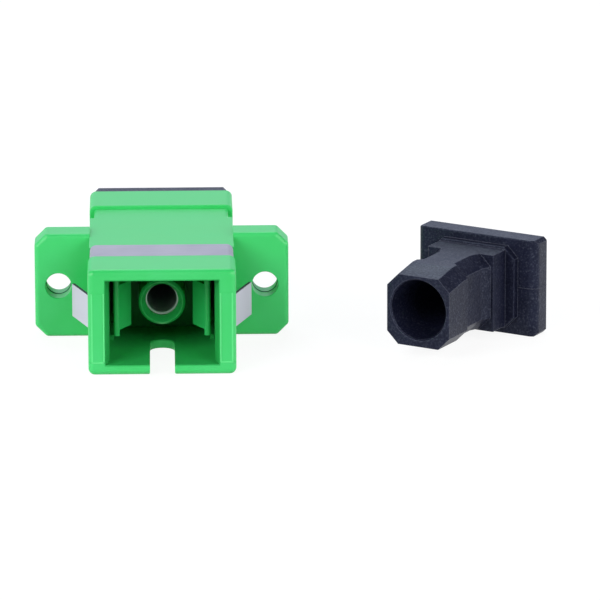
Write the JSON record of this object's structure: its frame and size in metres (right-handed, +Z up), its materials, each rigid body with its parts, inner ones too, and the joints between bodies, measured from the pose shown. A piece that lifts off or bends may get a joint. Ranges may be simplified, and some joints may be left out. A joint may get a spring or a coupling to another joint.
{
  "type": "fibre optic adapter",
  "caption": "Flanged simplex adapter that joins two square push-pull fibre connectors end to end, with a steel panel clip and a dust cap for each port.",
  "frame": {"origin": "on the axis of the two ports, in the middle of the flange's thickness, midway between the two screw holes", "axes": "+X along the flange, +Y along the ports towards the capped rear port, +Z up, away from the key slots"},
  "size_m": [0.0446, 0.0294, 0.0094],
  "materials": {
    "green_plastic": "satin moulded",
    "latch_plastic": "satin moulded",
    "ceramic": "polished",
    "spring_steel": "rolled",
    "black_plastic": "matte moulded"
  },
  "bodies": {
    "adapter": {"housing_body": "green_plastic", "housing_lid": "green_plastic", "front_latch_holder": "latch_plastic", "rear_latch_holder": "latch_plastic", "panel_clip": "spring_steel", "front_dust_cap": "black_plastic"},
    "sleeve": {"alignment_sleeve": "ceramic"},
    "rear_cap": {"rear_dust_cap": "black_plastic"}
  },
  "joints": [
    {"name": "rear_cap_pull", "type": "slide", "parent": "adapter", "child": "rear_cap", "axis": [0, 1, 0], "range_m": [0, 0.016], "deforming": ["rear_latch_holder"]},
    {"name": "sleeve_float", "type": "slide", "parent": "adapter", "child": "sleeve", "axis": [0, 1, 0], "range_m": [-0.0001, 0.0001]}
  ]
}
